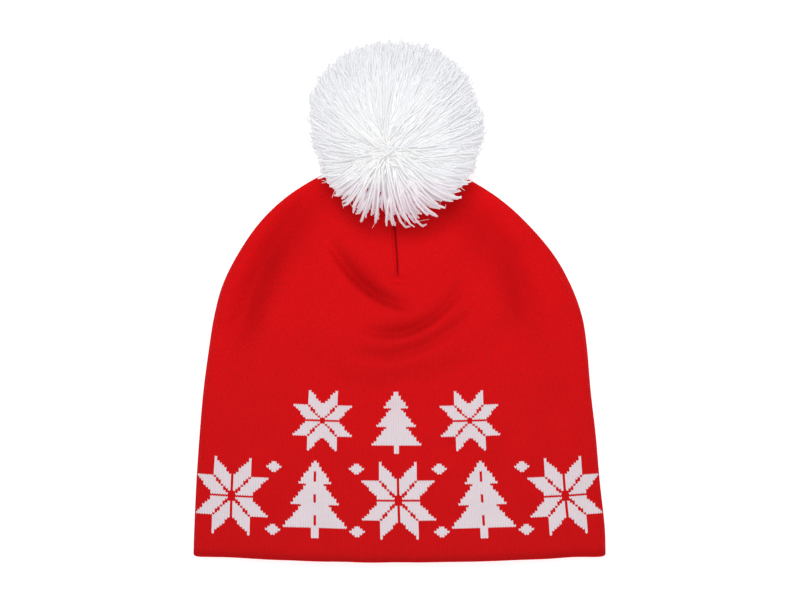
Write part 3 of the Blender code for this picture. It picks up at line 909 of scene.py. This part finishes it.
def yarn_material(name):
    """Soft white yarn, each strand a little different, warmer at the parting, with a painted pink reflection
    over the red.
    """
    nodes = Nodes(name)
    where = nodes.add("ShaderNodeTexCoord").outputs["Object"]
    parting = pompom_centre() + BALL_SHIFT + np.array(PARTING) * BALL_RADIUS
    from_parting = nodes.add("ShaderNodeVectorMath", where, tuple(parting), operation="SUBTRACT")
    distance = nodes.add("ShaderNodeVectorMath", from_parting.outputs[0], operation="LENGTH").outputs["Value"]
    outer = nodes.add("ShaderNodeMapRange", distance, *WARM_REACH, 0.0, 1.0).outputs[0]
    upward = nodes.add("ShaderNodeSeparateXYZ", where).outputs[1]
    # Painted reflection: yarn over the red knit is painted pink
    red_bounce = nodes.add("ShaderNodeMapRange", upward, *RED_BOUNCE_REACH, 0.0, 1.0).outputs[0]
    each = nodes.add("ShaderNodeNewGeometry").outputs["Random Per Island"]
    tone = nodes.mix(each, nodes.mix(outer, YARN_ROOT, YARN_WHITE), YARN_TINT)
    shade = nodes.mix(red_bounce, tone, YARN_RED_BOUNCE)
    nodes.set(nodes.shader.inputs["Base Color"], shade)
    twist = nodes.add("ShaderNodeTexNoise", where)
    twist.inputs["Scale"].default_value = TWIST_SCALE
    bump = nodes.add("ShaderNodeBump")
    bump.inputs["Strength"].default_value = YARN_BUMP
    bump.inputs["Distance"].default_value = YARN_BUMP_HEIGHT
    nodes.set(bump.inputs["Height"], twist.outputs["Fac"])
    nodes.set(nodes.shader.inputs["Normal"], bump.outputs[0])
    nodes.shader.inputs["Roughness"].default_value = MATT
    nodes.shader.inputs["Specular IOR Level"].default_value = YARN_SHINE
    nodes.shader.inputs["Emission Color"].default_value = (*YARN_WHITE, 1.0)
    nodes.shader.inputs["Emission Strength"].default_value = YARN_GLOW
    nodes.shader.inputs["Subsurface Weight"].default_value = YARN_SCATTER
    nodes.shader.inputs["Subsurface Radius"].default_value = (1.0, 1.0, 1.0)
    nodes.shader.inputs["Subsurface Scale"].default_value = YARN_SCATTER_DEPTH
    return nodes.material


def make_floor():
    """The pale surface that the hat lies on."""
    form = bmesh.new()
    bmesh.ops.create_grid(form, x_segments=1, y_segments=1, size=FLOOR_HALF)
    bmesh.ops.translate(form, verts=form.verts, vec=(0, 0, -FLOOR_GAP))
    mesh = bpy.data.meshes.new("floor")
    form.to_mesh(mesh)
    form.free()
    nodes = Nodes("pale_paper")
    nodes.shader.inputs["Base Color"].default_value = FLOOR_PALE
    nodes.shader.inputs["Emission Color"].default_value = PURE_WHITE
    nodes.shader.inputs["Emission Strength"].default_value = FLOOR_GLOW
    nodes.shader.inputs["Roughness"].default_value = MATT
    nodes.shader.inputs["Specular IOR Level"].default_value = 0.0
    mesh.materials.append(nodes.material)
    floor = bpy.data.objects.new("floor", mesh)
    bpy.context.scene.collection.objects.link(floor)


def area_light(name, size, power, place, aim):
    """A soft light that the camera doesn't see."""
    lamp = bpy.data.lights.new(name, "AREA")
    lamp.shape = "RECTANGLE"
    lamp.size, lamp.size_y = size
    lamp.energy = power
    obj = bpy.data.objects.new(name, lamp)
    obj.location = place
    obj.rotation_euler = (Vector(aim) - Vector(place)).to_track_quat("-Z", "Y").to_euler()
    obj.visible_camera = False
    bpy.context.scene.collection.objects.link(obj)


def make_camera():
    """The camera, straight above the hat."""
    camera = bpy.data.cameras.new("camera")
    camera.sensor_width = SENSOR
    camera.lens = SENSOR * CAMERA_HEIGHT / PHOTO_WIDTH
    obj = bpy.data.objects.new("camera", camera)
    obj.location = (*AIM, CAMERA_HEIGHT)
    bpy.context.scene.collection.objects.link(obj)
    bpy.context.scene.camera = obj


def light_the_set():
    """Even light all round, and the two soft lights."""
    world = bpy.data.worlds.new("studio")
    world.use_nodes = True
    background = world.node_tree.nodes["Background"]
    background.inputs["Color"].default_value = PURE_WHITE
    background.inputs["Strength"].default_value = WORLD_LIGHT
    bpy.context.scene.world = world
    bpy.context.scene.view_settings.view_transform = "Standard"
    for light in LIGHTS:
        area_light(*light)


make_camera()
light_the_set()
make_floor()
knit = knit_material()
front = outer_side("knit_front", True, knit)
back = outer_side("knit_back", False, knit)
inner_side("knit_inside", knit)
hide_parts("knitted_body")
yarn = yarn_material("white_yarn")
make_pompom(front, back, yarn)
tie = bpy.data.objects.get("pompom_tie")
if tie is not None:
    tie.data.materials.clear()
    tie.data.materials.append(yarn)
